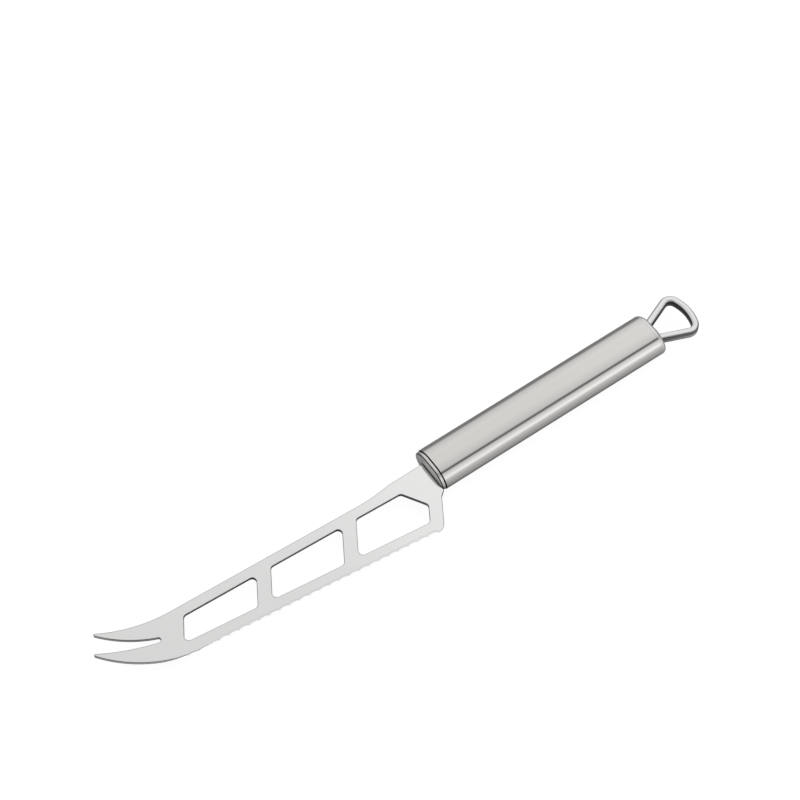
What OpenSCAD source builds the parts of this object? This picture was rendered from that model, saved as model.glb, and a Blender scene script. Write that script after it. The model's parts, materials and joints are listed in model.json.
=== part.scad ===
// Cheese knife: a windowed blade with a two-pronged tip and a fine serrated edge,
// held in a hollow oval steel handle that ends in a hanging loop.
// +X runs from the loop to the tip, +Y from the spine to the cutting edge, +Z is up.
// Blade heights are measured from the handle's axis: negative towards the spine.

/* [Overall] */
// Whole length, from the loop's far side to the longer prong's tip
overall_len = 280; // [270:1:290]
// Length of the handle, from the rear cap's face to the front cap's face
handle_len = 111.8; // [105:0.2:120]

/* [Handle] */
// Width of the handle's oval section
handle_w = 19.5; // [18:0.5:21]
// Height of the handle's oval section
handle_h = 12; // [11:0.5:13]
// Radius of the section's two small sides
side_r = 4.2; // [3.8:0.1:4.8]
// Width of the flat along the middle of each broad side, on which the knife lies still
flat_w = 4.4; // [4:0.2:6]
// Wall of the handle tube
tube_wall = 1; // [0.8:0.1:1.2]
// Depth that the two caps reach into the tube
spigot_len = 6; // [4:0.5:9]
// Wall of those spigots
spigot_wall = 0.7; // [0.5:0.1:0.9]

/* [Front cap] */
// Length of the front cap that shows in front of the tube
front_len = 1.5; // [1.4:0.1:2.5]
// Step from the tube's surface down to the front cap's
front_step = 0.3; // [0.1:0.05:0.5]
// Radius of the front cap's rounded edge
front_edge_r = 1; // [0.5:0.1:1.2]
// Thickness of the wall that the blade comes out of
front_wall = 1.4; // [1.2:0.1:1.6]
// Width of the shadow groove between the tube and the front cap
groove_w = 0.5; // [0.3:0.1:0.8]
// Depth of the shadow groove under the tube's surface
groove_depth = 0.7; // [0.6:0.05:0.9]

/* [Rear cap] */
// Thickness of the rear cap's rim
cap_t = 2.2; // [2.1:0.1:2.6]
// Radius of the rear cap's rounded edge
cap_edge_r = 2; // [1.4:0.1:2]

/* [Hanging loop] */
// Length of the loop behind the rear cap
loop_len = 19.3; // [18:0.1:22]
// Width of the bent bar, seen from above
bar_w = 2.9; // [2.5:0.1:3.2]
// Height of the bent bar
bar_h = 4.1; // [3.5:0.1:4.7]
// Radius of the bar's long edges
bar_edge_r = 0.9; // [0.6:0.1:1.2]
// Distance between the middles of the two legs at the rear cap's face
leg_spacing = 7.2; // [6.8:0.1:7.6]
// Angle of each leg from the handle's axis
leg_angle = 22.2; // [20:0.2:24]
// Radius of the loop's two corners, to the middle of the bar
loop_corner_r = 3.6; // [3.3:0.1:4.1]
// Radius of the loop's curved far side, to the middle of the bar
loop_far_r = 17.7; // [16:0.1:21]
// Depth that the legs reach past the rear cap's face
leg_depth = 3.2; // [2.4:0.1:3.6]

/* [Blade] */
// Thickness of the blade
blade_t = 1.5; // [1.2:0.1:1.8]
// Height of the spine at the root, above the handle's axis
root_rise = 4.1; // [3.6:0.1:4.6]
// Length of the straight root before the spine dips
root_len = 16.5; // [15:0.5:18]
// Length of that dip
root_dip = 8.5; // [7.5:0.5:9.5]
// Height of the spine's line where it would meet the front cap's face
spine_offset = 1.7; // [1.5:0.1:1.9]
// Rise of the spine towards the tip
spine_angle = 2.74; // [2.6:0.02:2.9]
// Depth of the cutting edge's line where it would meet the front cap's face
edge_offset = 25.6; // [25:0.1:26.2]
// Slope of the cutting edge towards the tip
edge_angle = 6.2; // [6.05:0.05:6.35]
// Depth of the blade's root shoulder, under the handle's axis
root_drop = 10.2; // [9.8:0.1:10.6]
// Length of the small flare between the root and the heel
flare_len = 2.3; // [1.8:0.1:2.8]
// Depth of that flare
flare_drop = 1.8; // [1.5:0.1:2.1]
// Slant of the heel and of the bars between the windows
slant = 31.4; // [30:0.2:33]
// Radius of the heel's corner
heel_r = 4.6; // [3.5:0.1:5.5]
// Width of the ground flat along the cutting edge, on the underside
grind_w = 3; // [2.2:0.1:3.6]
// Thickness left at the cutting edge
edge_t = 0.3; // [0.2:0.05:0.5]

/* [Serration] */
// Pitch of the fine teeth
tooth_pitch = 0.86; // [0.7:0.02:1.1]
// Depth of the fine teeth
tooth_depth = 0.3; // [0.15:0.05:0.4]
// Fine teeth in each scallop
teeth_per_scallop = 5; // [4:1:8]
// Depth of a scallop
scallop_depth = 0.3; // [0.2:0.02:0.5]

/* [Windows] */
// Width of the rail between the windows and the spine
top_rail = 4.2; // [3.8:0.1:4.6]
// Width of the rail under the windows, at the heel's end
heel_rail = 5.3; // [5.1:0.1:5.6]
// Width of the rail under the windows, at the tip's end
tip_rail = 5.6; // [5.4:0.1:5.9]
// Width of the bars between the windows, square to the bar
window_bar = 5.7; // [5.2:0.1:6.2]
// Distance from the front cap's face to the first window's rear corner
first_window = 8.7; // [8.4:0.1:9]
// Depth of that rear corner under the handle's axis
first_corner_drop = 12; // [11.7:0.1:12.3]
// Distance from the front cap's face to the first window's front side, on the handle's axis
first_window_end = 34.7; // [34:0.1:35.4]
// Distance from the last window's front side to the gap between the prongs, on the handle's axis
fork_web = 11.7; // [10.5:0.1:13]
// Radius of the windows' corners
window_r = 1.8; // [1.4:0.1:2.2]

/* [Fork] */
// Distance between the two prongs' tips, along the blade
tip_stagger = 4.2; // [3.6:0.1:4.8]
// Height of the shorter, upper prong's tip above the handle's axis
upper_tip_rise = 15.4; // [15:0.1:15.8]
// Height of the longer, lower prong's tip above the handle's axis
lower_tip_rise = 8.1; // [7.8:0.1:8.4]
// Radius of the prongs' tips
tip_r = 0.45; // [0.35:0.05:0.6]
// Radius of the spine's sweep up to the upper prong
sweep_r = 61; // [57:1:65]
// Radius of the belly, from the cutting edge up to the lower prong
belly_r = 53; // [50:1:56]
// Radius of the upper prong's inner side
upper_inner_r = 50; // [47:1:53]
// Radius of the lower prong's inner side
lower_inner_r = 88; // [80:1:96]
// Distance from the lower tip's end to the middle of the gap's round end
gap_len = 23.1; // [22:0.1:24]
// Depth of the gap's round end under the handle's axis
gap_drop = 0.3; // [0:0.1:0.6]
// Radius of the gap's round end
gap_r = 1.05; // [0.9:0.05:1.2]

/* [Tang] */
// Length of the tang behind the front cap's face
tang_len = 40; // [34:1:48]
// Depth of the tang's lower side, under the handle's axis
tang_drop = 7.3; // [6.8:0.1:7.4]
// Radius of the hole that keys the tang in its core
key_r = 2.4; // [1.5:0.1:3]
// Room round the tang in the front cap's slot
slot_gap = 0.25; // [0.15:0.05:0.35]
// Depth of the core behind the tang's end
core_extra = 3; // [2:0.5:6]

/* [Hidden] */

// Room between pieces that slide together
fit = 0.05;
// How far a cut runs past the surface that it opens
over = 1;
// Faces of a full circle
smooth = 96;
// Steps of a blade arc and of a small corner
arc_steps = 24;
corner_steps = 6;
// Rings of a cap's rounded edge, and points in each
edge_rings = 6;
ring_points = 72;
// Steps along each curve of the loop, and round each long edge of its bar
loop_steps = 14;
bar_steps = 5;

// Places along X
cap_face = loop_len;
front_face = cap_face + handle_len;
tube_start = cap_face + cap_t;
front_start = front_face - front_len;
tube_end = front_start - groove_w;
core_front = front_face - front_wall;

// The oval has two flats, a broad arc from each end of a flat, and two small round sides
half_w = handle_w / 2;
half_h = handle_h / 2;
flat_x = flat_w / 2;
side_x = half_w - side_r;
turn_x = side_x - flat_x;
broad_r = (turn_x * turn_x + half_h * half_h - side_r * side_r) / (2 * (half_h - side_r));
broad_y = broad_r - half_h;
join_x_share = turn_x / (broad_r - side_r);
join_angle = atan2(broad_y, turn_x);

// Small steps of the handle's pieces
bore_grow = -tube_wall;
spigot_grow = bore_grow - fit;
spigot_bore_grow = spigot_grow - spigot_wall;
core_grow = spigot_bore_grow - fit;

// Plane geometry
function unit(v) = v / norm(v);
function ray(angle) = [cos(angle), sin(angle)];
function turned(a) = a > 180 ? a - 360 : a <= -180 ? a + 360 : a;
function angle_of(v) = atan2(v[1], v[0]);
function cross2(a, b) = a[0] * b[1] - a[1] * b[0];
// Point where the line through p along u meets the line through q along v
function meet(p, u, q, v) = p + u * cross2(q - p, v) / cross2(u, v);
// Point on the line through p along u that lies r from c, on the far or the near side
function line_circle(p, u, c, r, side) =
    let (t = (c - p) * u, h = norm(c - p - t * u)) p + u * (t + side * sqrt(r * r - h * h));
// Point that lies r1 from c1 and r2 from c2, to the left or the right of the way from c1 to c2
function circles_meet(c1, r1, c2, r2, side) =
    let (d = norm(c2 - c1), t = (r1 * r1 - r2 * r2 + d * d) / (2 * d), u = unit(c2 - c1))
    c1 + u * t + side * sqrt(r1 * r1 - t * t) * [-u[1], u[0]];
// Points on a circle, the short way round from one direction to another
function arc(c, r, a0, a1, steps) =
    let (sweep = turned(a1 - a0)) [for (i = [0:steps]) c + r * ray(a0 + sweep * i / steps)];
// Middle of the round that joins the two sides at corner c
function round_centre(p, c, n, r) =
    let (a = unit(p - c), b = unit(n - c)) c + unit(a + b) * r / sin(acos(a * b) / 2);
// Points of that round
function fillet(p, c, n, r, steps) =
    let (a = unit(p - c), b = unit(n - c), m = round_centre(p, c, n, r), t = r / tan(acos(a * b) / 2))
    arc(m, r, angle_of(c + a * t - m), angle_of(c + b * t - m), steps);
// Closed outline with every corner rounded
function rounded(pts, r, steps) =
    [for (i = [0:len(pts) - 1])
        each fillet(pts[(i + len(pts) - 1) % len(pts)], pts[i], pts[(i + 1) % len(pts)], r, steps)];

// Point of the oval, grown all round, where the surface faces the given way
function oval_point(angle, grow) =
    abs(cos(angle)) > cos(join_angle)
        ? [sign(cos(angle)) * side_x, 0] + (side_r + grow) * ray(angle)
        : [sign(cos(angle)) * flat_x, -sign(sin(angle)) * broad_y] + (broad_r + grow) * ray(angle);

// The oval as a ring of points at one place along X
function oval_ring(x, grow) =
    [for (i = [0:ring_points - 1])
        let (p = oval_point(360 * (i + 0.5) / ring_points, grow)) [x, p[0], p[1]]];
// One ring of a cap's rounded edge, counted from the cap's flat face, where way is 1 if the cap
// lies on the +X side of that face
function edge_ring(face, way, r, step, i) =
    let (turn = 90 * i / edge_rings)
    oval_ring(face + way * r * (1 - cos(turn)), -step - r * (1 - sin(turn)));

// The blade's two long lines and the slanted direction of its heel and bars
spine_dir = ray(-spine_angle);
edge_dir = ray(-edge_angle);
slant_dir = ray(90 - slant);
spine_start = [front_face, -spine_offset];
edge_start = [front_face, edge_offset];

// Spine at the root
root_top = [front_face, -root_rise];
root_end = root_top + [root_len, 0];
spine_joint = meet(root_end + [root_dip, 0], [0, 1], spine_start, spine_dir);
// Radii that soften the dip's two corners
dip_start_r = 4 * root_dip;
dip_end_r = 9 * root_dip;

// Heel
root_bottom = [front_face, root_drop];
heel_top = root_bottom + [flare_len, flare_drop];
heel_corner = meet(heel_top, slant_dir, edge_start, edge_dir);
heel_centre = round_centre(heel_top, heel_corner, heel_corner + edge_dir, heel_r);

// Prongs: the middle of each tip's round
lower_tip = [overall_len - tip_r, -lower_tip_rise];
upper_tip = [overall_len - tip_stagger - tip_r, -upper_tip_rise];
gap_end = [overall_len - gap_len, gap_drop];
// Middles of the four long arcs, each tangent to a tip and to its line or to the gap's end
sweep_line = spine_start + sweep_r * ray(-90 - spine_angle);
sweep_centre = line_circle(sweep_line, spine_dir, upper_tip, sweep_r + tip_r, -1);
belly_line = edge_start + belly_r * ray(-90 - edge_angle);
belly_centre = line_circle(belly_line, edge_dir, lower_tip, belly_r - tip_r, -1);
upper_inner_centre = circles_meet(upper_tip, upper_inner_r - tip_r, gap_end, upper_inner_r + gap_r, 1);
lower_inner_centre = circles_meet(lower_tip, lower_inner_r + tip_r, gap_end, lower_inner_r - gap_r, 1);
sweep_start_angle = 90 - spine_angle;
belly_start_angle = 90 - edge_angle;
belly_start = belly_centre + belly_r * ray(belly_start_angle);

// Serrated edge: fine teeth along shallow scallops, from the heel's round to the belly
serration_start = heel_centre + heel_r * ray(belly_start_angle);
tooth_count = floor(norm(belly_start - serration_start) / tooth_pitch);
edge_in = ray(-90 - edge_angle);
function scallop(i) =
    let (t = 2 * (i % teeth_per_scallop) / teeth_per_scallop - 1) scallop_depth * (1 - t * t);
function tooth(i) = serration_start + edge_dir * tooth_pitch * i + edge_in * scallop(i);
function tooth_root(i) = tooth(i) + edge_dir * tooth_pitch / 2 + edge_in * tooth_depth;
serration = [for (i = [0:tooth_count - 1]) each [tooth(i), tooth_root(i)]];

// The blade's outline, from the root along the spine, round the fork and back along the edge
blade_outline = concat(
    [root_top],
    fillet(root_top, root_end, spine_joint, dip_start_r, corner_steps),
    fillet(root_end, spine_joint, spine_joint + spine_dir, dip_end_r, corner_steps),
    arc(sweep_centre, sweep_r, sweep_start_angle, angle_of(upper_tip - sweep_centre), arc_steps),
    arc(upper_tip, tip_r, angle_of(sweep_centre - upper_tip), 0, corner_steps),
    arc(upper_tip, tip_r, 0, angle_of(upper_tip - upper_inner_centre), corner_steps),
    arc(upper_inner_centre, upper_inner_r, angle_of(upper_tip - upper_inner_centre),
        angle_of(gap_end - upper_inner_centre), arc_steps),
    arc(gap_end, gap_r, angle_of(upper_inner_centre - gap_end), 180, corner_steps),
    arc(gap_end, gap_r, 180, angle_of(gap_end - lower_inner_centre), corner_steps),
    arc(lower_inner_centre, lower_inner_r, angle_of(gap_end - lower_inner_centre),
        angle_of(lower_tip - lower_inner_centre), arc_steps),
    arc(lower_tip, tip_r, angle_of(lower_inner_centre - lower_tip), 0, corner_steps),
    arc(lower_tip, tip_r, 0, angle_of(lower_tip - belly_centre), corner_steps),
    arc(belly_centre, belly_r, angle_of(lower_tip - belly_centre), belly_start_angle, arc_steps),
    [for (i = [len(serration) - 1:-1:0]) serration[i]],
    fillet(heel_corner + edge_dir, heel_corner, heel_top, heel_r, corner_steps),
    [heel_top, root_bottom]
);

// Windows: a line under the spine, a line over the edge, and slanted sides
rail_line = spine_start + top_rail * ray(90 - spine_angle);
floor_line = [front_face, edge_offset - heel_rail / cos(edge_angle)];
floor_end = [belly_start[0], belly_start[1] - tip_rail / cos(edge_angle)];
floor_dir = unit(floor_end - floor_line);
// Where the slanted sides cross the handle's axis
bar_step = window_bar / cos(slant);
first_side = front_face + first_window_end;
last_side = gap_end[0] - fork_web;
sides_x = [for (i = [0:2]) first_side + i * (last_side - first_side) / 2];
function side_top(x) = meet([x, 0], slant_dir, rail_line, spine_dir);
function side_bottom(x) = meet([x, 0], slant_dir, floor_line, floor_dir);
rear_corner = [front_face + first_window, first_corner_drop];
window_1 = [
    side_top(sides_x[0]),
    side_bottom(sides_x[0]),
    meet(rear_corner, slant_dir, floor_line, floor_dir),
    rear_corner,
    meet(rear_corner, ray(slant - 90), rail_line, spine_dir)
];
function window(i) =
    let (rear = sides_x[i - 1] + bar_step, front = sides_x[i])
    [side_top(front), side_bottom(front), side_bottom(rear), side_top(rear)];
WINDOWS = [window_1, window(1), window(2)];

// Tang
tang_start = front_face - tang_len;
key_x = tang_start + 3 * key_r;
tang_mid = (tang_drop - root_rise) / 2;

// Loop: the corners touch both the legs and the curved far side
far_centre = bar_w / 2 + loop_far_r;
leg_slope = tan(leg_angle);
leg_reach = leg_spacing / 2 + leg_slope * cap_face - loop_corner_r / cos(leg_angle);
quad_a = 1 + leg_slope * leg_slope;
quad_b = far_centre + leg_reach * leg_slope;
quad_c = far_centre * far_centre + leg_reach * leg_reach - pow(loop_far_r - loop_corner_r, 2);
corner_x = (quad_b - sqrt(quad_b * quad_b - quad_a * quad_c)) / quad_a;
corner_y = leg_reach - leg_slope * corner_x;
far_angle = atan2(corner_y, far_centre - corner_x);
leg_touch = [corner_x, corner_y] + loop_corner_r * ray(90 - leg_angle);
leg_end = [cap_face, leg_spacing / 2] + leg_depth * [1, -leg_slope];

// The bar's outline: x points away from the loop's middle and y up
bar_x = bar_w / 2;
bar_y = bar_h / 2;
bar_corners = [[bar_x, bar_y], [bar_x, -bar_y], [-bar_x, -bar_y], [-bar_x, bar_y]];
bar_outline = rounded(bar_corners, bar_edge_r, bar_steps);
// Outline of the bar at p, with its outer side facing along angle
function bar_ring(p, angle) = [for (b = bar_outline) let (q = p + b[0] * ray(angle)) [q[0], q[1], b[1]]];
// Outlines along an arc of the loop, without the given number at each end
function bar_rings(c, r, a0, a1, skip = 0) =
    [for (i = [skip:loop_steps - skip])
        let (a = a0 + (a1 - a0) * i / loop_steps) bar_ring(c + r * ray(a), a)];

// The origin lies under the middle of the whole knife
low_y = upper_tip[1] - tip_r;
high_y = heel_centre[1] + heel_r;
origin = [overall_len / 2, (low_y + high_y) / 2, -half_h];

module placed() {
    translate(-origin) children();
}

// The handle's section, grown or shrunk all round, and laid along X from one place to another
module oval(grow = 0) {
    turned_w = join_x_share * (broad_r + grow);
    union() {
        square(2 * [flat_x, half_h + grow], center = true);
        for (side = [-1, 1]) {
            intersection() {
                translate([side * flat_x, -broad_y]) circle(broad_r + grow, $fn = smooth);
                translate([side * flat_x, broad_y]) circle(broad_r + grow, $fn = smooth);
                translate([side * (flat_x + turned_w / 2), 0])
                    square([turned_w, 2 * handle_h], center = true);
            }
            translate([side * side_x, 0]) circle(side_r + grow, $fn = smooth);
        }
    }
}

module along(start, end) {
    translate([start, 0, 0]) rotate([90, 0, 90]) linear_extrude(end - start) children();
}

// Closed solid through a row of outlines with the same number of points, each of which
// turns anticlockwise when seen from the row's far end
module skin(rings) {
    count = len(rings[0]);
    last = (len(rings) - 1) * count;
    sides = [for (k = [0:len(rings) - 2])
        for (i = [0:count - 1])
            let (a = k * count, b = a + count, j = (i + 1) % count)
            [a + i, b + i, b + j, a + j]];
    start = [for (i = [0:count - 1]) i];
    end = [for (i = [count - 1:-1:0]) last + i];
    polyhedron([for (ring = rings) each ring], concat([start], sides, [end]));
}

module tang_outline(gap) {
    translate([tang_start - gap, -root_rise - gap])
        square([tang_len + gap + over, tang_drop + root_rise + 2 * gap]);
}

module tang_space(gap) {
    translate([0, 0, -blade_t / 2 - gap]) linear_extrude(blade_t + 2 * gap) tang_outline(gap);
}

// The flat that is ground on the underside, from the heel to the belly
module grind() {
    grind_h = blade_t - edge_t;
    reach = norm(lower_tip - edge_start);
    translate([edge_start[0], edge_start[1], -blade_t / 2])
        rotate([0, 0, -edge_angle])
            rotate([90, 0, 90])
                linear_extrude(reach)
                    polygon([
                        [-grind_w, 0],
                        [over, grind_h * (1 + over / grind_w)],
                        [over, -over],
                        [-grind_w, -over]
                    ]);
}

module blade() {
    color([0.86, 0.86, 0.86])
        placed() difference() {
            translate([0, 0, -blade_t / 2]) linear_extrude(blade_t) difference() {
                union() {
                    polygon(blade_outline);
                    difference() {
                        translate([tang_start, -root_rise])
                            square([tang_len + over, tang_drop + root_rise]);
                        translate([key_x, tang_mid]) circle(key_r, $fn = smooth);
                    }
                }
                for (outline = WINDOWS) polygon(rounded(outline, window_r, corner_steps));
            }
            grind();
        }
}

module handle_tube() {
    color([0.72, 0.71, 0.69])
        placed() along(tube_start, tube_end) difference() {
            oval();
            oval(bore_grow);
        }
}

module front_cap() {
    color([0.72, 0.71, 0.69])
        placed() difference() {
            union() {
                skin(concat(
                    [oval_ring(front_start, -front_step)],
                    [for (i = [edge_rings:-1:0]) edge_ring(front_face, -1, front_edge_r, front_step, i)]
                ));
                along(tube_end, front_start) oval(-groove_depth);
                along(tube_end - spigot_len, tube_end) oval(spigot_grow);
            }
            along(tube_end - spigot_len - over, core_front) oval(spigot_bore_grow);
            tang_space(slot_gap);
        }
}

module tang_core() {
    core_step = tube_end - spigot_len - fit;
    color([0.25, 0.25, 0.25])
        placed() union() {
            difference() {
                union() {
                    along(core_step, core_front) oval(core_grow);
                    along(tang_start - core_extra, core_step) oval(spigot_grow);
                }
                tang_space(fit);
            }
            translate([key_x, tang_mid, -blade_t / 2 - fit])
                cylinder(h = blade_t + 2 * fit, r = key_r - fit, $fn = smooth);
        }
}

module rear_cap() {
    color([0.72, 0.71, 0.69])
        placed() difference() {
            union() {
                skin(concat(
                    [for (i = [0:edge_rings]) edge_ring(cap_face, 1, cap_edge_r, 0, i)],
                    [oval_ring(tube_start, 0)]
                ));
                along(tube_start, tube_start + spigot_len) oval(spigot_grow);
            }
            along(tube_start, tube_start + spigot_len + over) oval(spigot_bore_grow);
            leg_sockets();
        }
}

// Sockets for the loop's two legs
module leg_sockets() {
    room_x = bar_x + fit;
    room_y = bar_y + fit;
    for (side = [0, 1])
        mirror([0, side, 0])
            translate([leg_touch[0], leg_touch[1], 0])
                rotate([0, 0, -leg_angle])
                    rotate([90, 0, 90])
                        linear_extrude(norm(leg_end - leg_touch) + fit)
                            union() {
                                square(2 * [room_x - bar_edge_r, room_y], center = true);
                                square(2 * [room_x, room_y - bar_edge_r], center = true);
                                for (x = [-1, 1])
                                    for (y = [-1, 1])
                                        translate([x * (room_x - bar_edge_r), y * (room_y - bar_edge_r)])
                                            circle(bar_edge_r, $fn = smooth);
                            }
}

module hanging_loop() {
    leg_out = 90 - leg_angle;
    color([0.8, 0.8, 0.8])
        placed() skin(concat(
            [bar_ring(leg_end, leg_out)],
            bar_rings([corner_x, corner_y], loop_corner_r, leg_out, 180 - far_angle),
            bar_rings([far_centre, 0], loop_far_r, 180 - far_angle, 180 + far_angle, 1),
            bar_rings([corner_x, -corner_y], loop_corner_r, 180 + far_angle, 360 - leg_out),
            [bar_ring([leg_end[0], -leg_end[1]], 360 - leg_out)]
        ));
}

blade();
handle_tube();
front_cap();
tang_core();
rear_cap();
hanging_loop();
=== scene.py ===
"""Cheese knife on a plain white sweep. Every length is in metres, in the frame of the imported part."""

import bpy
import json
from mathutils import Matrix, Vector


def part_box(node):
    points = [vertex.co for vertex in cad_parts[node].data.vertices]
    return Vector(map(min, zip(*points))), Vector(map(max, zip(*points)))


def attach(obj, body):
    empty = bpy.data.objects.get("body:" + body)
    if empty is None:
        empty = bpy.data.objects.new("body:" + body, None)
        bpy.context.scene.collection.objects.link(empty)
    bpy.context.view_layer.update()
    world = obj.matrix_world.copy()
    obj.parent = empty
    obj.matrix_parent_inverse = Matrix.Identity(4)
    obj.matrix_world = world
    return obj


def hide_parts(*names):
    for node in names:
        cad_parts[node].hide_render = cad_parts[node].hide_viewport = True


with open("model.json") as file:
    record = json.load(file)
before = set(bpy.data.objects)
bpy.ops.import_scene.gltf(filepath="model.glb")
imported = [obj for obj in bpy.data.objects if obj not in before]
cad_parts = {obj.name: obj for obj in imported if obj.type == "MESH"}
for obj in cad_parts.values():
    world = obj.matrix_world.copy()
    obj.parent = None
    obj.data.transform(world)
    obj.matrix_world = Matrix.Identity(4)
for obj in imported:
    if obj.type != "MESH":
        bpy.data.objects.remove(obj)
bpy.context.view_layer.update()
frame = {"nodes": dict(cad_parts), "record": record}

import bmesh
import bpy
import json
import math
from mathutils import Matrix, Vector
from types import SimpleNamespace

MM = 0.001
nodes = frame["nodes"]
scene = bpy.context.scene
scene.view_settings.view_transform = "Standard"

# Where things lie

tube_low, tube_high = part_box("handle_tube")
loop_low, loop_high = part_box("hanging_loop")
blade_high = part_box("blade")[1]
handle_y = (tube_low.y + tube_high.y) / 2
handle_z = (tube_low.z + tube_high.z) / 2
# The handle's axis at the loop's far side, and in the middle of the loop
KNIFE_END = Vector((loop_low.x, handle_y, handle_z))
LOOP_MIDDLE = Vector(((loop_low.x + loop_high.x) / 2, handle_y, handle_z))

# The teeth stand along a line that rises in Y by this slope towards the heel, where LINE_START is its
# first point. The ground zone lies beyond the parallel line that crosses X = 0 at EDGE_LINE.
EDGE_SLOPE = math.tan(math.radians(6.2))
EDGE_LINE = blade_high.y - 1.2 * MM
LINE_START = 3 * MM
# The belly follows the straight teeth: it begins at BELLY_START and lies above BELLY_LOW in Y. Its own
# teeth have faded out at BELLY_END.
BELLY_START = blade_high.x - 38.4 * MM
BELLY_END = blade_high.x - 24 * MM
BELLY_LENGTH = BELLY_END - BELLY_START
BELLY_LOW = 5.5 * MM
# From here to the tip the sheet's walls take the tones of the prongs
PRONG_START = blade_high.x - 34 * MM


# Node helpers

def grey(value):
    return (value, value, value)


class Graph:
    """A small helper that adds nodes to a tree and joins them."""

    def __init__(self, tree):
        self.tree = tree
        tree.nodes.clear()

    def add(self, kind, **values):
        node = self.tree.nodes.new(kind)
        for key, value in values.items():
            setattr(node, key, value)
        return node

    def join(self, out, into):
        self.tree.links.new(out, into)

    def put(self, value, socket):
        """Sets a plain number on the socket, and joins anything else to it."""
        if isinstance(value, (int, float)):
            socket.default_value = value
        else:
            self.join(value, socket)

    def math(self, operation, first, second=None, clamp=False):
        node = self.add("ShaderNodeMath", operation=operation, use_clamp=clamp)
        self.put(first, node.inputs[0])
        if second is not None:
            self.put(second, node.inputs[1])
        return node.outputs[0]

    def product(self, *values):
        """The product of the values, without those that are None."""
        made = None
        for value in values:
            if value is not None:
                made = value if made is None else self.math("MULTIPLY", made, value)
        return made

    def size(self, value):
        return self.math("ABSOLUTE", value)

    def over(self, value, limit):
        return self.math("GREATER_THAN", value, limit)

    def larger(self, first, second):
        return self.math("MAXIMUM", first, second)

    def less_one(self, value):
        return self.math("SUBTRACT", 1.0, value)

    def dot(self, first, second):
        node = self.add("ShaderNodeVectorMath", operation="DOT_PRODUCT")
        self.join(first, node.inputs[0])
        self.join(second, node.inputs[1])
        return node.outputs["Value"]

    def away_from(self, point, place):
        """The way from the point to the place."""
        node = self.add("ShaderNodeVectorMath", operation="SUBTRACT")
        self.join(place, node.inputs[0])
        node.inputs[1].default_value = point
        return node.outputs["Vector"]

    def split(self, vector):
        """The vector itself with its x, y and z."""
        node = self.add("ShaderNodeSeparateXYZ")
        self.join(vector, node.inputs[0])
        x, y, z = node.outputs
        return SimpleNamespace(vector=vector, x=x, y=y, z=z)

    def ramp(self, factor, stops):
        """A ramp of colours through stops of position and colour."""
        node = self.add("ShaderNodeValToRGB")
        elements = node.color_ramp.elements
        elements.remove(elements[-1])
        elements[0].position = stops[0][0]
        elements[0].color = (*stops[0][1], 1)
        for position, colour in stops[1:]:
            elements.new(position).color = (*colour, 1)
        self.join(factor, node.inputs[0])
        return node.outputs[0]

    def tones(self, factor, stops):
        """A ramp of greys through stops of position and level."""
        return self.ramp(factor, [(position, grey(level)) for position, level in stops])

    def signed_tones(self, factor, stops):
        """Tones for a factor, and positions, from -1 to 1."""
        half = self.math("ADD", self.math("MULTIPLY", factor, 0.5), 0.5)
        return self.tones(half, [((position + 1) / 2, level) for position, level in stops])

    def blend(self, factor, first, second):
        node = self.add("ShaderNodeMix", data_type="FLOAT")
        self.join(factor, node.inputs[0])
        self.join(first, node.inputs[2])
        self.join(second, node.inputs[3])
        return node.outputs[0]

    def tinted(self, colour, share):
        """The colour times the share."""
        node = self.add("ShaderNodeMix", data_type="RGBA", blend_type="MULTIPLY")
        node.inputs[0].default_value = 1.0
        self.join(colour, node.inputs[6])
        self.join(share, node.inputs[7])
        return node.outputs[2]

    def noise(self, vector, scale, detail, roughness):
        node = self.add("ShaderNodeTexNoise")
        node.inputs["Scale"].default_value = scale
        node.inputs["Detail"].default_value = detail
        node.inputs["Roughness"].default_value = roughness
        self.join(vector, node.inputs["Vector"])
        return node.outputs["Fac"]

    def stretched(self, vector, scale):
        node = self.add("ShaderNodeMapping")
        node.inputs["Scale"].default_value = scale
        self.join(vector, node.inputs["Vector"])
        return node.outputs[0]

    def bump(self, height, strength, distance):
        node = self.add("ShaderNodeBump")
        node.inputs["Strength"].default_value = strength
        node.inputs["Distance"].default_value = distance
        self.join(height, node.inputs["Height"])
        return node

    def rounded(self, radius, samples):
        """The surface's normal, as if its edges had this radius."""
        node = self.add("ShaderNodeBevel", samples=samples)
        self.put(radius, node.inputs["Radius"])
        return node.outputs[0]

    def openness(self, distance, samples):
        """One on an open surface, and less where another surface stands within the distance."""
        node = self.add("ShaderNodeAmbientOcclusion", samples=samples)
        node.inputs["Distance"].default_value = distance
        return node.outputs["AO"]

    def light_path(self):
        """Two values: one for rays that the eye sees directly or through glass, and one for mirrored rays."""
        node = self.add("ShaderNodeLightPath")
        seen = self.larger(node.outputs["Is Camera Ray"], node.outputs["Is Transmission Ray"])
        return seen, node.outputs["Is Glossy Ray"]


def new_material(name):
    """A material with an empty tree, the graph for that tree, and the socket for its surface."""
    material = bpy.data.materials.new(name)
    material.use_nodes = True
    graph = Graph(material.node_tree)
    out = graph.add("ShaderNodeOutputMaterial")
    return material, graph, out.inputs["Surface"]


# Tones of the steel by place and facing: painted shade, and where the gloss is lost

# Shares of the plain tone left as painted shade on the sheet's walls, on the prongs' walls and on a tooth's
# dark flank
WALL_PAINTED_SHADE, PRONG_PAINTED_SHADE, TOOTH_PAINTED_SHADE = 0.36, 1.0, 0.9
# How much of the gloss is lost on the prongs' walls, on the teeth's and on the handle's end faces
PRONG_MATT, TOOTH_MATT, END_MATT = 0.3, 0.8, 0.9
# A wall's normal has less Z than STEEP, up or down. Over UPRIGHT_SHADE_TONES the walls' painted shade changes
# to the full tone of the flat faces.
STEEP = 0.5
UPRIGHT_SHADE_TONES = ((0.3, 0), (0.7, 1))
# A tooth's flank gets painted shade, darker where it faces the loop's end
FLANK_SHADE_TONES = ((-0.3, TOOTH_PAINTED_SHADE), (0.2, 1))
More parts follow.
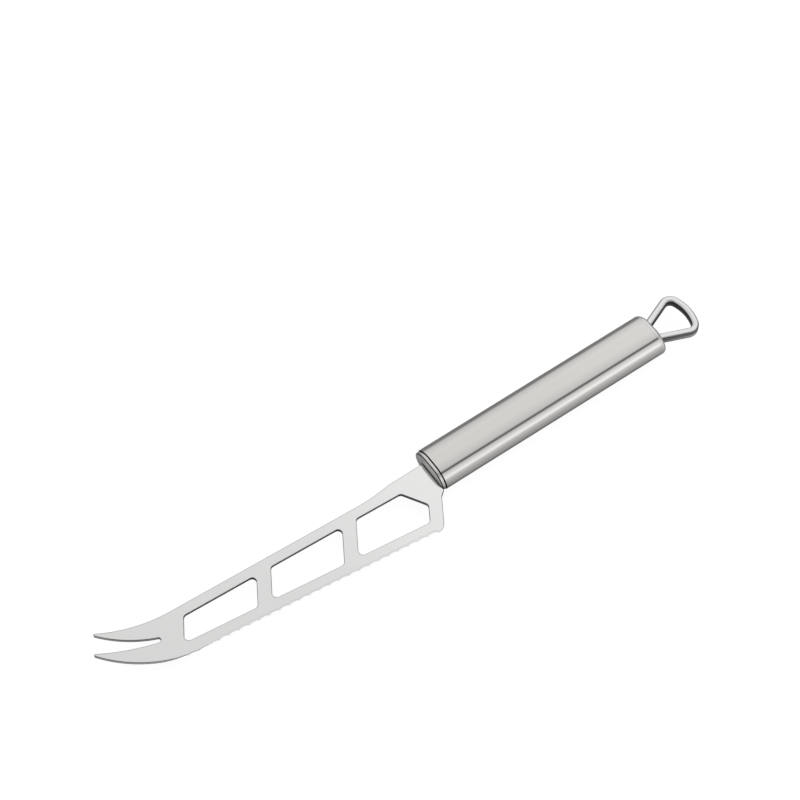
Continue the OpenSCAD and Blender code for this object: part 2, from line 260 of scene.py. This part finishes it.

# The sheet's borders get painted shade: how wide they look rounded, how much darker they are painted where
# they turn along the knife and where they turn to the spine, and the least share of the tone that the teeth
# keep
BORDER_WIDTH = 0.6 * MM
BORDER_SHADE_ALONG, BORDER_SHADE_BACK, BORDER_TOOTH = 0.92, 0.35, 0.8
# The painted shade's strength by how far the rounded normal and the plain one agree: 1 is wholly
BORDER_LEAN = ((0.75, 1), (0.92, 0.9), (0.99, 0.35), (1.0, 0))
# The painted darkening by how far the border turns along the knife, and the Y below which its normal looks to
# the spine
ALONG_SHADE_TONES = ((0.04, 0), (0.3, BORDER_SHADE_ALONG))
BACKWARDS = -0.04

# Painted shade on the caps by how far the steel faces along the knife, from the loop's end to the blade's
END_SHADE_TONES = ((-0.94, 0.6), (-0.8, 1.0), (0.38, 1.0), (0.55, 0.15), (0.82, 0.15), (0.94, 0.7))
END_MATT_TONES = ((0.8, 0), (0.94, END_MATT))

# Painted shade on the loop by how far its rounded surface faces up or down: outside and inside of the opening
LOOP_ROUND = 0.5 * MM
OUTER_SHADE_TONES = ((0.0, 1.0), (0.25, 1.0), (0.4, 0.3), (0.8, 0.3), (0.96, 1.0))
INNER_SHADE_TONES = ((0.0, 0.55), (0.35, 0.55), (0.75, 1.0))
# Painted shade on the loop's walls by height, which the upper and lower faces don't take
HEIGHT_SHADE_TONES = ((0.0, 1.0), (0.5, 1.0), (0.62, 0.4), (1.0, 0.4))
FACE_TONES = ((0.6, 0), (0.8, 1))
# Samples taken for the rounded edges and for the openness
EDGE_SAMPLES, BORDER_SAMPLES, LOOP_SAMPLES = 6, 8, 12
CREASE_SAMPLES, FLOOR_SAMPLES = 8, 4


def ground_zone(graph, at):
    """One on the ground cutting edge, fading out along the belly."""
    across = graph.math("ADD", at.y, graph.math("MULTIPLY", at.x, EDGE_SLOPE))
    belly = graph.product(graph.over(at.y, BELLY_LOW), graph.over(at.x, BELLY_START))
    left = graph.math("DIVIDE", graph.math("SUBTRACT", BELLY_END, at.x), BELLY_LENGTH, clamp=True)
    return graph.product(graph.larger(graph.over(across, EDGE_LINE), belly), left)


def steep(graph, facing):
    return graph.math("LESS_THAN", graph.size(facing.z), STEEP)


def on_prongs(graph, at, value):
    return graph.product(graph.over(at.x, PRONG_START), value)


def sheet_walls_painted_shade(graph, at, facing):
    """Painted shade: a dark grey on the walls cut square through the sheet, but not on those of the prongs
    and teeth; the teeth's flanks get their own painted shade.
    """
    share = graph.math("ADD", on_prongs(graph, at, PRONG_PAINTED_SHADE - WALL_PAINTED_SHADE), WALL_PAINTED_SHADE)
    wall = graph.larger(graph.tones(graph.size(facing.z), UPRIGHT_SHADE_TONES), share)
    tooth = graph.product(ground_zone(graph, at), steep(graph, facing))
    return graph.blend(tooth, wall, graph.signed_tones(facing.x, FLANK_SHADE_TONES))


def sheet_matt(graph, at, facing):
    """The ground teeth's walls are dull, and those of the prongs a little."""
    ground = graph.product(ground_zone(graph, at), TOOTH_MATT)
    dull = graph.larger(ground, on_prongs(graph, at, PRONG_MATT))
    return graph.product(dull, steep(graph, facing))


def sheet_border_painted_shade(graph, at):
    """Painted shade on the rounded edges of the sheet: most where they turn along the knife, a little where
    they turn to the spine, and hardly at all on the ground cutting edge."""
    soft = graph.rounded(BORDER_WIDTH, BORDER_SAMPLES)
    plain = graph.add("ShaderNodeNewGeometry").outputs["Normal"]
    amount = graph.tones(graph.dot(soft, plain), BORDER_LEAN)
    way = graph.split(soft)
    along = graph.tones(graph.size(way.x), ALONG_SHADE_TONES)
    back = graph.product(graph.math("LESS_THAN", way.y, BACKWARDS), BORDER_SHADE_BACK)
    share = graph.less_one(graph.product(amount, graph.larger(along, back)))
    return graph.larger(share, graph.product(ground_zone(graph, at), BORDER_TOOTH))


def end_faces_painted_shade(graph, at, facing):
    """Painted shade: the end faces are a darker grey, and a painted dark line runs round the front one on its
    rounding.
    """
    return graph.signed_tones(facing.x, END_SHADE_TONES)


def end_matt(graph, at, facing):
    return graph.tones(graph.size(facing.x), END_MATT_TONES)


def loop_walls_painted_shade(graph, at, facing):
    """Painted shade: the loop's walls are darker in their upper half, most of all round the opening, and the
    outer edge has a thin painted dark line."""
    soft = graph.rounded(LOOP_ROUND, LOOP_SAMPLES)
    outward = graph.dot(graph.away_from(LOOP_MIDDLE, at.vector), soft)
    inner = graph.math("LESS_THAN", outward, 0.0)
    upright = graph.size(graph.split(soft).z)
    side = graph.blend(inner, graph.tones(upright, OUTER_SHADE_TONES), graph.tones(upright, INNER_SHADE_TONES))
    height = graph.math("DIVIDE", graph.math("SUBTRACT", at.z, loop_low.z), loop_high.z - loop_low.z)
    shade = graph.larger(graph.tones(height, HEIGHT_SHADE_TONES), graph.tones(upright, FACE_TONES))
    return graph.product(side, shade)


# Materials

# The grain is noise drawn out along the knife, and the smudges are plain noise
GRAIN_STRETCH = (40.0, 5000.0, 5000.0)
GRAIN_NOISE = dict(scale=1.0, detail=3.0, roughness=0.6)
SMUDGE_NOISE = dict(scale=60.0, detail=3.0, roughness=0.55)
# The positions between which a ramp by noise changes
NOISE_RANGE = (0.3, 0.7)
# The grain's share in the roughness, and its height
ROUGH_GRAIN = 0.6
GRAIN_HEIGHT = 0.02 * MM
# How much brighter an outer edge gets by wear, by how far its pointiness is above that of a flat face
WEAR, FLAT_POINTINESS = 2.8, 0.5
# Radius of the edges in the light, and the share of it that the ground edge lacks
EDGE_ROUND, SHARPENED = 0.2 * MM, 0.9
# Painted shade in the creases where two pieces meet, by how open the place is
CREASE_SHADE_TONES = ((0.5, 0.02), (0.62, 0.10), (0.76, 0.7), (0.9, 1.0))

RESIN_NOISE = dict(scale=300.0, detail=4.0, roughness=0.6)
RESIN_TONES, RESIN_ROUGH = (0.018, 0.035), (0.6, 0.8)
RESIN_BUMP, RESIN_HEIGHT = 0.3, 0.05 * MM


def mixed(graph, first, second, share):
    """The first value by its share, and the second by the rest."""
    return graph.math("ADD", graph.product(first, share), graph.product(second, 1 - share))


def noise_tones(graph, noise, levels):
    return graph.tones(noise, list(zip(NOISE_RANGE, levels)))


def steel(name, tint, tones, rough, grain, bump, edge_round=EDGE_ROUND, walls=None, matt=None,
          border=None, crease=None, ground=None):
    """Bare steel: fine lengthwise grain, faint smudges, and edges worn a little brighter.
    Tones and rough are the ranges of tone and roughness, and grain is the grain's share in the tone.
    Walls gives a share of the tone as painted shade, and matt the part of the gloss that is lost, by place
    and facing.
    Border paints shade close to an edge, and crease is how near a neighbour paints shade on the steel.
    Ground is a zone with sharp edges and no painted crease shade. One of walls, border and crease is always
    there."""
    material, graph, surface = new_material(name)
    shader = graph.add("ShaderNodeBsdfPrincipled")
    shader.inputs["Metallic"].default_value = 1.0
    graph.join(shader.outputs[0], surface)

    coordinates = graph.add("ShaderNodeTexCoord")
    at = graph.split(coordinates.outputs["Object"])
    facing = graph.split(coordinates.outputs["Normal"])
    lines = graph.noise(graph.stretched(at.vector, GRAIN_STRETCH), **GRAIN_NOISE)
    cloud = graph.noise(at.vector, **SMUDGE_NOISE)

    pointed = graph.add("ShaderNodeNewGeometry").outputs["Pointiness"]
    above_flat = graph.math("SUBTRACT", pointed, FLAT_POINTINESS, clamp=True)
    worn = graph.math("MULTIPLY", above_flat, WEAR, clamp=True)
    tone = graph.math("ADD", mixed(graph, lines, cloud, grain), worn, clamp=True)
    colours = [[channel * level for channel in tint] for level in tones]
    colour = graph.ramp(tone, list(zip(NOISE_RANGE, colours)))

    zone = ground(graph, at) if ground else None
    painted_wall_shade = walls(graph, at, facing) if walls else None
    painted_border_shade = border(graph, at) if border else None
    # Painted shade in the creases, by how open the place is
    painted_crease_shade = graph.tones(graph.openness(crease, CREASE_SAMPLES), CREASE_SHADE_TONES) if crease else None
    if crease and ground:
        painted_crease_shade = graph.larger(painted_crease_shade, zone)
    # All the painted shade on the steel, as a share of its tone
    share = graph.product(painted_wall_shade, painted_border_shade, painted_crease_shade)
    graph.join(graph.tinted(colour, share), shader.inputs["Base Color"])
    if matt:
        graph.join(graph.less_one(matt(graph, at, facing)), shader.inputs["Metallic"])

    spread = noise_tones(graph, mixed(graph, lines, cloud, ROUGH_GRAIN), rough)
    graph.join(spread, shader.inputs["Roughness"])

    radius = edge_round
    if ground:
        radius = graph.math("ADD", graph.product(zone, -SHARPENED * edge_round), edge_round)
    raised = graph.bump(lines, bump, GRAIN_HEIGHT)
    graph.join(graph.rounded(radius, EDGE_SAMPLES), raised.inputs["Normal"])
    graph.join(raised.outputs[0], shader.inputs["Normal"])
    return material


def core_resin():
    """The dark filling of the handle, which only shows through the slot."""
    material, graph, surface = new_material("core_resin_cast")
    shader = graph.add("ShaderNodeBsdfPrincipled")
    graph.join(shader.outputs[0], surface)
    cloud = graph.noise(graph.add("ShaderNodeTexCoord").outputs["Object"], **RESIN_NOISE)
    graph.join(noise_tones(graph, cloud, RESIN_TONES), shader.inputs["Base Color"])
    graph.join(noise_tones(graph, cloud, RESIN_ROUGH), shader.inputs["Roughness"])
    graph.join(graph.bump(cloud, RESIN_BUMP, RESIN_HEIGHT).outputs[0], shader.inputs["Normal"])
    return material


MATERIALS = {
    "blade_steel": steel(
        "blade_steel_polished", tint=(1.0, 0.995, 0.99), tones=(0.86, 0.89), rough=(0.10, 0.14),
        grain=0.4, bump=0.04, edge_round=0.4 * MM, walls=sheet_walls_painted_shade, matt=sheet_matt,
        border=sheet_border_painted_shade, crease=1.5 * MM, ground=ground_zone),
    "handle_steel": steel(
        "handle_steel_satin", tint=(1.0, 0.97, 0.945), tones=(0.67, 0.71), rough=(0.11, 0.15),
        grain=0.6, bump=0.05, crease=1.2 * MM),
    "cap_steel": steel(
        "cap_steel_polished", tint=(1.0, 0.99, 0.98), tones=(0.76, 0.82), rough=(0.30, 0.36),
        grain=0.4, bump=0.05, walls=end_faces_painted_shade, matt=end_matt, crease=1.5 * MM),
    "loop_steel": steel(
        "loop_steel_polished", tint=(1.0, 1.0, 1.0), tones=(0.73, 0.79), rough=(0.06, 0.10),
        grain=0.3, bump=0.03, edge_round=0.5 * MM, walls=loop_walls_painted_shade),
    "core_resin": core_resin(),
}
for part in frame["record"]["subparts"]:
    slots = nodes[part["node"]].data.materials
    if not slots:
        slots.append(None)
    for index in range(len(slots)):
        slots[index] = MATERIALS[part["material_slot"]]


# Blade with its full teeth

# Points closer than SAME_POINT are one, and a point less than SAME_HEIGHT below the top lies on it
SAME_POINT, SAME_HEIGHT = 0.001 * MM, 0.01 * MM
# A cut point this near a straight stretch lies on it
ON_STRETCH = 0.002 * MM
# Faces that turn less than this against each other are one flat face
FLAT_ANGLE = math.radians(0.2)
# A wall's normal has less Z than this, up or down
WALL_NORMAL = 0.3
# The cutting edge is ground down to this thickness
EDGE_THICK = 0.12 * MM
# The teeth lie this near the line of their tips, and their points at one place in X, rounded to
# PLACE_STEP, move together. The line's points run on past the belly's start by LINE_PAST.
TOOTH_ZONE, PLACE_STEP, LINE_PAST = 0.8 * MM, 0.01 * MM, 1 * MM
# How many times its own depth each point goes deeper, the length over which that fades before the
# belly, and how much deeper the gullets between the fine teeth are cut
DEEPER, FADE, GULLET = 0.8, 6 * MM, 0.4 * MM
# The depth of the belly's fine teeth, and the cuts that part each of its straight stretches
BELLY_TOOTH, BELLY_CUTS = 0.5 * MM, 3
# The belly's scallops go on from the tip of the last straight one: that tip, their pitch, their depth,
# and how far past the belly's start they begin
FIRST_TIP, SCALLOP, BELLY_WAVE = blade_high.x - 37.7 * MM, 4.3 * MM, 0.5 * MM
WAVE_PAST = 0.1 * MM
# The way from the teeth's line into the blade
SLANT = math.atan(EDGE_SLOPE)
INWARD = Vector((-math.sin(SLANT), -math.cos(SLANT), 0))


def is_wall(face):
    return abs(face.normal.z) < WALL_NORMAL


def is_belly(vert):
    return BELLY_START < vert.co.x < BELLY_END and vert.co.y > BELLY_LOW


def belly_left(vert):
    """One where the belly begins, falling to zero where its teeth end."""
    return min(1, (BELLY_END - vert.co.x) / BELLY_LENGTH)


def thin_out(vert, top):
    """Grinds a point of the underside up to a thin edge, less and less along the belly."""
    if vert.co.z < top - SAME_HEIGHT:
        thin = belly_left(vert)
        vert.co.z = (1 - thin) * vert.co.z + thin * (top - EDGE_THICK)


def deepen_line(bm, top):
    """Cuts the scallops and the gullets of the straight teeth deeper."""
    line = [vert for vert in bm.verts if LINE_START < vert.co.x < BELLY_START + LINE_PAST]
    tips = max(-vert.co.dot(INWARD) for vert in line)
    steps = {}
    for vert in line:
        depth = tips + vert.co.dot(INWARD)
        if depth < TOOTH_ZONE:
            steps.setdefault(round(vert.co.x / PLACE_STEP), []).append((vert, depth))
    places = sorted(steps)
    for before, here, after in zip(places, places[1:], places[2:]):
        depths = [steps[place][0][1] for place in (before, here, after)]
        gullet = GULLET if 2 * depths[1] > depths[0] + depths[2] else 0
        for vert, depth in steps[here]:
            fade = max(0, min(1, (BELLY_START - vert.co.x) / FADE))
            vert.co += INWARD * (DEEPER * depth * fade + gullet)
            thin_out(vert, top)


def cut_tooth(vert, stretches):
    """Moves every other cut of a straight stretch into the blade."""
    for start, end in stretches:
        along = end - start
        share = (vert.co - start).dot(along) / along.length_squared
        if 0 < share < 1 and (start + along * share - vert.co).length < ON_STRETCH:
            if round(share * (BELLY_CUTS + 1)) % 2:
                side = Vector((-along.y, along.x, 0)).normalized()
                vert.co += (side if side.y < 0 else -side) * BELLY_TOOTH * belly_left(vert)
            return


def cut_belly(bm, top):
    """Carries the fine teeth and the scallops on round the belly, shallower and shallower."""
    rims = [edge for edge in bm.edges
            if all(is_belly(vert) for vert in edge.verts)
            and sum(is_wall(face) for face in edge.link_faces) == 1]
    stretches = [tuple(vert.co.copy() for vert in edge.verts) for edge in rims]
    made = bmesh.ops.subdivide_edges(bm, edges=rims, cuts=BELLY_CUTS, use_grid_fill=True)
    for item in made["geom_inner"]:
        if isinstance(item, bmesh.types.BMVert):
            cut_tooth(item, stretches)
    for vert in bm.verts:
        if is_belly(vert) and vert.co.x > BELLY_START + WAVE_PAST:
            wave = abs(math.sin(math.pi * (vert.co.x - FIRST_TIP) / SCALLOP))
            vert.co += INWARD * BELLY_WAVE * belly_left(vert) * wave
            thin_out(vert, top)


def toothed_blade(node):
    """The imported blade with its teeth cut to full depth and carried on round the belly."""
    bm = bmesh.new()
    bm.from_mesh(node.data)
    bmesh.ops.remove_doubles(bm, verts=bm.verts, dist=SAME_POINT)
    # The flat faces become whole again, so that no triangle folds over when a point moves
    bmesh.ops.dissolve_limit(bm, angle_limit=FLAT_ANGLE, verts=[], edges=bm.edges)
    top = max(vert.co.z for vert in bm.verts)
    deepen_line(bm, top)
    bm.normal_update()
    cut_belly(bm, top)
    bmesh.ops.triangulate(bm, faces=[face for face in bm.faces if len(face.verts) > 3])
    bmesh.ops.recalc_face_normals(bm, faces=bm.faces)
    mesh = bpy.data.meshes.new("blade_toothed")
    bm.to_mesh(mesh)
    bm.free()
    mesh.materials.append(MATERIALS["blade_steel"])
    piece = bpy.data.objects.new("blade_toothed", mesh)
    scene.collection.objects.link(piece)
    return piece


blade_piece = toothed_blade(nodes["blade"])
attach(blade_piece, "root")
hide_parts("blade")


# Camera

# The camera's place from KNIFE_END, how steeply it looks down, and how far its back is turned from +Y
# towards +X
CAMERA_STEP = Vector((421.70, 389.96, 864.07)) * MM
DOWN_ANGLE = math.radians(59)
TURN_ANGLE = math.radians(35.37)
# Focal length and width of the frame in pixels
FOCAL_PX, FRAME_PX = 2527.2, 800
# Width of the sensor in millimetres, as Blender takes it
SENSOR_WIDTH = 36.0
CLIP_NEAR, CLIP_FAR = 0.01, 50.0


def add_camera():
    data = bpy.data.cameras.new("camera")
    data.sensor_fit = "HORIZONTAL"
    data.sensor_width = SENSOR_WIDTH
    data.lens = SENSOR_WIDTH * FOCAL_PX / FRAME_PX
    data.clip_start = CLIP_NEAR
    data.clip_end = CLIP_FAR
    camera = bpy.data.objects.new("camera", data)
    scene.collection.objects.link(camera)
    scene.camera = camera

    level = math.cos(DOWN_ANGLE)
    back = Vector((math.sin(TURN_ANGLE) * level, math.cos(TURN_ANGLE) * level, math.sin(DOWN_ANGLE)))
    right = Vector((-math.cos(TURN_ANGLE), math.sin(TURN_ANGLE), 0))
    turn = Matrix((right, back.cross(right), back)).transposed()
    camera.matrix_world = Matrix.Translation(KNIFE_END + CAMERA_STEP) @ turn.to_4x4()


add_camera()


# Floor

FLOOR_SIZE = 6.0
# The floor lies this far below the knife
FLOOR_GAP = 0.1 * MM
FLOOR_NOISE = dict(scale=400.0, detail=2.0, roughness=0.5)
FLOOR_TONES = ((0.0, 0.90), (1.0, 0.92))
# Share of the floor's look that glows, and its strength for the eye, where 1 is white
FLOOR_SHARE, FLOOR_GLOW = 0.80, 1.15
# The table's levels in the steel beyond the spine and before the cutting edge, and the width of the strip
# along the knife's axis in which they change over
TABLE_TONES = ((0.0, 0.20), (1.0, 0.44))
TABLE_STRIP = 1 / 60
# The level that is left in the painted shadow close under the knife, and the reach and sharpness of that
# painted shadow
TABLE_UNDER_SHADOW = 0.06
SHADOW_REACH, SHADOW_POWER = 20 * MM, 3.0


def floor_material():
    """A white sweep that glows to plain white for the eye and still takes a soft shadow.
    Steel mirrors it as a darker table top, with a painted shadow close under the knife."""
    material, graph, surface = new_material("floor_white")
    at = graph.split(graph.add("ShaderNodeTexCoord").outputs["Object"])
    matt = graph.add("ShaderNodeBsdfDiffuse")
    graph.join(graph.tones(graph.noise(at.vector, **FLOOR_NOISE), FLOOR_TONES), matt.inputs["Color"])

    seen, mirrored = graph.light_path()
    # Painted shadow in the mirrored table close under the knife, from how open the floor is
    under = graph.math("POWER", graph.openness(SHADOW_REACH, FLOOR_SAMPLES), SHADOW_POWER)
    side = graph.tones(graph.math("ADD", graph.product(at.y, 1 / TABLE_STRIP), 0.5), TABLE_TONES)
    table = graph.math("ADD", graph.product(under, side), TABLE_UNDER_SHADOW)
    strength = graph.math("ADD", graph.product(seen, FLOOR_GLOW), graph.product(mirrored, table))
    glow = graph.add("ShaderNodeEmission")
    glow.inputs["Color"].default_value = (1, 1, 1, 1)
    graph.join(strength, glow.inputs["Strength"])

    mix = graph.add("ShaderNodeMixShader")
    graph.join(graph.math("ADD", graph.product(seen, FLOOR_SHARE), mirrored), mix.inputs[0])
    graph.join(matt.outputs[0], mix.inputs[1])
    graph.join(glow.outputs[0], mix.inputs[2])
    graph.join(mix.outputs[0], surface)
    return material


def flat_square(name, size, height, material):
    mesh = bpy.data.meshes.new(name)
    half = size / 2
    corners = [(-half, -half, 0), (half, -half, 0), (half, half, 0), (-half, half, 0)]
    mesh.from_pydata(corners, [], [(0, 1, 2, 3)])
    mesh.materials.append(material)
    piece = bpy.data.objects.new(name, mesh)
    scene.collection.objects.link(piece)
    piece.matrix_world = Matrix.Translation((0, 0, height))
    return piece


floor = flat_square("floor", FLOOR_SIZE, -FLOOR_GAP, floor_material())


# Light

# Levels of the soft room, by the angle in degrees about the knife's length: 0 is straight up, 90 is level
# with the table on the cutting edge's side. A dark gap runs between two long softboxes.
ROOM = (
    (-90, 0.53), (-86, 0.55), (-76, 0.71), (-66, 0.78), (-46, 0.85), (-36, 0.88), (-27, 0.90), (-22, 0.84),
    (-10, 0.80), (1, 0.755), (11, 0.73), (16, 0.70), (19.5, 0.42), (22.5, 0.13), (29, 0.13), (31.5, 0.36),
    (34, 0.66), (39.5, 0.80), (45, 0.86), (50.5, 0.95), (56, 1.06), (60, 1.15), (64, 1.15), (67.7, 0.98),
    (73.7, 0.70), (80, 0.60), (90, 0.52),
)
# Levels along the knife, by how far the way leans to the loop's end: -1 is the blade's end
LENGTH = (
    (-1.0, 0.60), (-0.8, 0.75), (-0.3, 0.90), (0.0, 0.84), (0.15, 0.85), (0.163, 0.872), (0.178, 0.90),
    (0.218, 0.902), (0.25, 0.893), (0.27, 1.03), (0.285, 1.08), (0.305, 1.04), (0.34, 1.04), (0.40, 1.12),
    (0.60, 1.2), (0.75, 1.1), (0.85, 0.75), (1.0, 0.5),
)
# A ramp holds nothing above 1, so the levels are stored as shares of this one
TOP_LEVEL = 1.2


def world_light():
    """A soft room with long lamps along the knife, brighter towards the handle's end."""
    world = bpy.data.worlds.new("studio")
    scene.world = world
    world.use_nodes = True
    graph = Graph(world.node_tree)
    out = graph.add("ShaderNodeOutputWorld")
    way = graph.split(graph.add("ShaderNodeTexCoord").outputs["Generated"])
    half_turns = graph.product(graph.math("ARCTAN2", way.y, way.z), 1 / math.pi)
    place = graph.math("ADD", half_turns, 0.5, clamp=True)
    room = graph.tones(place, [((angle + 90) / 180, level / TOP_LEVEL) for angle, level in ROOM])
    lean = graph.math("SUBTRACT", 0.5, graph.product(way.x, 0.5), clamp=True)
    along = graph.tones(lean, [((value + 1) / 2, level / TOP_LEVEL) for value, level in LENGTH])
    seen = graph.light_path()[0]
    light = graph.add("ShaderNodeBackground")
    light.inputs["Color"].default_value = (1, 1, 1, 1)
    graph.join(graph.larger(graph.product(room, along, TOP_LEVEL ** 2), seen), light.inputs["Strength"])
    graph.join(light.outputs[0], out.inputs["Surface"])


world_light()
